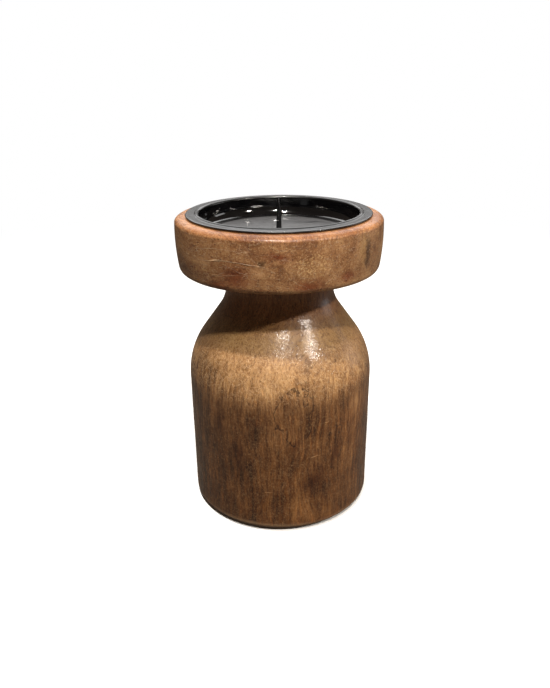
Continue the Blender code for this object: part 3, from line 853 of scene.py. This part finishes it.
def dish_wood():
    """Level grain, pointing to the front right: end grain shows on that side, long grain beside it."""
    g = Graph("dish_wood_grain")
    point = g.position()
    height = g.height(point)
    level = g.turn(g.turn(point, "Z", 62.0), "Y", 90.0)
    drift = g.noise(level, (22.0, 22.0, 50.0), 2.0)
    bent = g.moved(level, (1.0, 0.8, 0.0), g.math("MULTIPLY", drift, 12.0))
    figure = g.noise(bent, (11.0, 11.0, 60.0), 2.0)
    streak = g.noise(bent, (2.4, 2.4, 30.0), 3.0, 0.55)
    fibre = g.noise(bent, (0.8, 0.8, 6.0), 4.0, 0.75)
    fleck = g.noise(point, (0.8, 0.8, 0.8), 3.0, 0.75)
    cloud = g.noise(point, (15.0, 15.0, 9.0), 3.0)
    pore = g.cells(bent, (1.4, 1.4, 6.0))

    tone = g.total((figure, 0.40), (cloud, 0.35), (streak, 0.25))
    colour = g.ramp(tone, [(0.38, (0.165, 0.066, 0.026)), (0.46, (0.270, 0.125, 0.050)),
                           (0.54, (0.370, 0.190, 0.082)), (0.62, (0.480, 0.268, 0.122))])
    colour = g.tint(colour, (0.44, 0.33, 0.26), g.span(fibre, 0.34, 0.58, 0.7, 0.0))
    pale_fleck = g.mix(0.35, colour, (0.80, 0.54, 0.27))
    colour = g.paint(colour, pale_fleck, g.span(fleck, 0.52, 0.64, 0.0, 0.8))
    pores = g.span(pore, 0.10, 0.26, 1.0, 0.0)
    colour = g.paint(colour, BARK, pores, 0.48)

    # Reddish stains, a greenish streak and a knot at the right, a gold speckle in the middle.
    fray = g.noise(point, (3.5, 3.5, 3.5), 3.0)
    frayed = g.wander(point, fray, 6.0)
    reddish = side_patches(g, frayed, DISH_STAINS, DISH_SIDE, 9.0)
    colour = g.tint(colour, (0.55, 0.32, 0.25), reddish)
    streak_by_knot = g.patch(frayed, on_side(48.0, 142.0, DISH_SIDE), (6.0, 6.0, 12.0), 0.8)
    colour = g.tint(colour, (0.72, 0.76, 0.58), streak_by_knot, 0.5)
    gold_patch = g.patch(frayed, on_side(16.0, 138.0, DISH_SIDE), (14.0, 9.0, 6.5), 0.8)
    gold = g.math("MULTIPLY", gold_patch, g.span(fleck, 0.48, 0.60))
    colour = g.paint(colour, (0.66, 0.43, 0.18), gold, 0.55)
    knots = join_masks(g, [
        g.patch(frayed, on_side(51.0, 139.0, DISH_SIDE), (3.0, 4.2, 10.0), 0.75),
        g.patch(frayed, on_side(-9.5, 139.5, DISH_SIDE), (2.8, 2.6, 2.2), 0.8),
        g.patch(frayed, on_side(140.0, 141.0, DISH_SIDE), (2.4, 2.4, 4.0), 0.7),
    ])
    colour = g.paint(colour, KNOT, knots, 0.86)

    # Pale raised lines along the long grain, small curls all over, and a redder rim.
    tilted = g.turn(g.wander(point, fray, 0.72), "Y", 3.0)
    lines = hairlines(g, tilted, (38.0, 38.0, 5.0), 12.0, 0.014)
    long_grain = join_masks(g, [
        g.patch(point, on_side(-38.0, 140.0, 52.0), (30.0, 24.0, 9.0), 0.5),
        g.patch(point, on_side(150.0, 138.0, DISH_SIDE), (34.0, 24.0, 9.0), 0.5),
    ])
    curls = hairlines(g, point, (6.0, 6.0, 3.5), 45.0, 0.010)
    lines = g.math("MAXIMUM", g.math("MULTIPLY", lines, long_grain), g.math("MULTIPLY", curls, 0.45))
    colour = g.paint(colour, (0.68, 0.46, 0.27), lines, 0.75)
    colour = g.tint(colour, (0.96, 0.80, 0.70), g.span(g.sway(height, cloud, 4.0), 146.8, 150.6))

    grain = g.total((fibre, 0.7), (fleck, 1.0), (pores, -0.7), (knots, -0.8), (lines, 2.6))
    relief = g.bump(grain, 0.14)
    lacquer = g.bump(g.noise(point, (1.5, 1.5, 1.5), 2.0), 0.09, g.bump(grain, 0.03))
    rough = g.span(g.noise(point, (2.5, 2.5, 2.5), 2.0), 0.3, 0.7, 0.38, 0.58)
    g.shader.inputs["Specular IOR Level"].default_value = 0.35
    g.shader.inputs["Coat Weight"].default_value = 0.26
    g.shader.inputs["Coat Roughness"].default_value = 0.22
    return g.finish(Base_Color=colour, Roughness=rough, Normal=relief, Coat_Normal=lacquer)


# ---------------------------------------------------------------- metal and felt
def black_enamel(name, bare_tip_z=None):
    """Baked black enamel: a glossy wall, a satin flange, and a floor dulled by dust and old wax, whose
    paler grey is partly painted sheen.

    Above the height bare_tip_z, in millimetres, it is worn down to the metal.
    """
    g = Graph(name)
    point = g.position()
    height = g.height(point)
    radius = g.vector("LENGTH", g.vector("MULTIPLY", point, (1.0, 1.0, 0.0)))
    skin = g.noise(point, (0.9, 0.9, 0.9), 2.0, 0.5)
    wave = g.noise(point, (14.0, 14.0, 14.0), 2.0)
    dust = g.span(g.cells(point, (1.6, 1.6, 1.6)), 0.05, 0.14, 1.0, 0.0)
    dust = g.math("MULTIPLY", dust, g.span(g.noise(point, (9.0, 9.0, 9.0), 2.0), 0.48, 0.62))
    scuff = g.noise(g.turn(point, "Z", 33.0), (0.5, 9.0, 2.0), 3.0, 0.7)
    smear = g.span(g.noise(point, (8.0, 8.0, 3.0), 3.0, 0.6), 0.38, 0.66)
    film = g.noise(point, (5.0, 3.0, 3.0), 4.0, 0.6)

    # The dull film on the floor ends in a ragged circle, and a streak of it is wiped off.
    floor_z = PAN_FLOOR_Z / MM
    film_edge = FLOOR_FILM_RADIUS / MM
    floor = g.span(g.sway(radius, film, 3.0), film_edge - 0.6, film_edge + 0.6, 1.0, 0.0)
    floor = g.math("MULTIPLY", floor, g.span(height, floor_z + 0.5, floor_z + 1.3, 1.0, 0.0))
    wavy = g.moved(point, (0.0, 1.0, 0.0), g.math("MULTIPLY", film, 8.0))
    wiped = g.patch(wavy, (15.0, 22.0, floor_z + 0.3), (13.0, 2.4, 4.0), 0.8)
    floor = g.math("MULTIPLY", floor, g.math("MULTIPLY_ADD", wiped, -0.85, 1.0))

    flange_z = FLANGE_TOP_Z / MM
    above_floor = g.span(height, floor_z + 0.2, floor_z + 0.9)
    below_flange = g.span(height, flange_z - 0.8, flange_z - 0.1, 1.0, 0.0)
    wall = g.math("MULTIPLY", g.math("MULTIPLY", above_floor, below_flange),
                  g.span(radius, film_edge + 0.4, film_edge + 1.2))

    colour = g.mix(smear, (0.0010, 0.0010, 0.0014), (0.0024, 0.0024, 0.0028))
    # The floor's film colour: dust and old wax, and partly a painted sheen.
    patchy_film_and_sheen = g.math("MULTIPLY", floor, g.span(film, 0.30, 0.70, 0.70, 1.0))
    colour = g.mix(patchy_film_and_sheen, colour, (0.076, 0.077, 0.081))
    colour = g.mix(g.span(scuff, 0.60, 0.74, 0.0, 0.2), colour, (0.018, 0.018, 0.019))
    colour = g.paint(colour, (0.07, 0.066, 0.060), dust, 0.3)
    rough = g.math("MULTIPLY_ADD", smear, 0.10, g.span(scuff, 0.35, 0.75, 0.29, 0.35))
    rough = g.math("MULTIPLY", rough, g.math("MULTIPLY_ADD", wall, -0.76, 1.0))
    rough = g.math("MULTIPLY_ADD", floor, 0.14, rough)
    coat = g.span(wall, 0.0, 1.0, 0.30, 1.0)
    relief = g.bump(wave, 0.12, g.bump(skin, 0.006))
    metallic = 0.0
    if bare_tip_z is not None:
        bare = g.span(g.sway(height, skin, 5.0), bare_tip_z, bare_tip_z + 1.6)
        colour = g.mix(bare, colour, (0.16, 0.16, 0.165))
        metallic = g.math("MULTIPLY", bare, 0.9)
    g.shader.inputs["Specular IOR Level"].default_value = 0.5
    g.shader.inputs["Coat Roughness"].default_value = 0.05
    return g.finish(Base_Color=colour, Roughness=rough, Metallic=metallic, Coat_Weight=coat,
                    Normal=relief, Coat_Normal=relief)


def zinc_plate():
    """Yellowish zinc plating with fine turning marks and dull patches."""
    g = Graph("zinc_plate")
    point = g.position()
    marks = g.noise(point, (6.0, 6.0, 0.09), 2.0, 0.6)
    patches = g.noise(point, (1.6, 1.6, 2.4), 3.0, 0.6)
    colour = g.ramp(patches, [(0.35, (0.42, 0.39, 0.33)), (0.50, (0.60, 0.57, 0.50)),
                              (0.66, (0.68, 0.66, 0.62))])
    grime = g.span(g.noise(point, (0.6, 0.6, 0.9), 2.0, 0.7), 0.56, 0.70, 0.0, 0.55)
    colour = g.mix(grime, colour, (0.10, 0.075, 0.05))
    rough = g.span(patches, 0.35, 0.65, 0.44, 0.24)
    relief = g.bump(g.math("MULTIPLY_ADD", marks, 0.6, patches), 0.012)
    g.shader.inputs["Metallic"].default_value = 1.0
    return g.finish(Base_Color=colour, Roughness=rough, Normal=relief)


def black_felt():
    """Pressed felt: short tangled fibres, a few pale ones, and no shine."""
    g = Graph("black_felt")
    point = g.position()
    long_fibres = hairlines(g, point, (0.9, 0.9, 0.9), 3.0, 0.05)
    short_fibres = hairlines(g, point, (0.6, 0.6, 0.6), 17.0, 0.05)
    fibres = join_masks(g, [long_fibres, short_fibres])
    clump = g.noise(point, (0.35, 0.35, 0.35), 3.0, 0.7)
    colour = g.ramp(clump, [(0.32, (0.008, 0.008, 0.008)), (0.50, (0.021, 0.020, 0.019)),
                            (0.68, (0.042, 0.040, 0.038))])
    colour = g.paint(colour, (0.085, 0.080, 0.075), fibres, 0.4)
    relief = g.bump(g.math("MULTIPLY_ADD", fibres, 0.7, clump), 0.16)
    rough = g.span(clump, 0.3, 0.7, 0.88, 0.98)
    g.shader.inputs["Sheen Weight"].default_value = 0.35
    g.shader.inputs["Sheen Roughness"].default_value = 0.6
    return g.finish(Base_Color=colour, Roughness=rough, Normal=relief)


# ---------------------------------------------------------------- the pieces
def make_stand():
    wood = base_wood()
    outline = spaced(base_profile(), WOOD_SPACING, False)
    base = turned_mesh("wood_base_turned", outline, False, WIDE_SEGMENTS, base_wobble)
    place("wood_base_turned", base, wood, "stand", "wood_base")
    outline = spaced(dish_profile(), WOOD_SPACING, True)
    dish = turned_mesh("top_dish_turned", outline, True, WIDE_SEGMENTS, dish_wobble)
    place("top_dish_turned", dish, dish_wood(), "stand", "top_dish")
    outline = spaced(screw_profile(), SCREW_SPACING, False)
    blank = turned_mesh("joint_screw_threaded", outline, False, THIN_SEGMENTS, thread_shift)
    screw = place("joint_screw_threaded", blank, zinc_plate(), "stand", "joint_screw")
    cut_cross_recess(screw)
    felt = black_felt()
    for seed, name in enumerate(PAD_NAMES):
        low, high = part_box(name)
        mesh = pad_mesh(name + "_felt", low, high, seed)
        pad = place(name + "_felt", mesh, felt, "stand", name)
        pad.location = (low + high) / 2.0


def make_pan():
    outline = spaced(pan_profile(), PAN_SPACING, True)
    pan = turned_mesh("candle_pan_pressed", outline, True, WIDE_SEGMENTS)
    place("candle_pan_pressed", pan, black_enamel("pan_enamel"), "pan", "candle_pan")
    outline = spaced(spike_profile(), SPIKE_SPACING, False)
    spike = turned_mesh("spike_riveted", outline, False, THIN_SEGMENTS)
    bare_z = SPIKE_HIGH.z / MM - 1.5
    place("spike_riveted", spike, black_enamel("spike_enamel", bare_z), "pan", "spike")


make_camera()
make_stand()
make_pan()
make_stage()
for light in LIGHTS:
    add_light(*light)
make_world()
bpy.context.scene.view_settings.view_transform = "Standard"
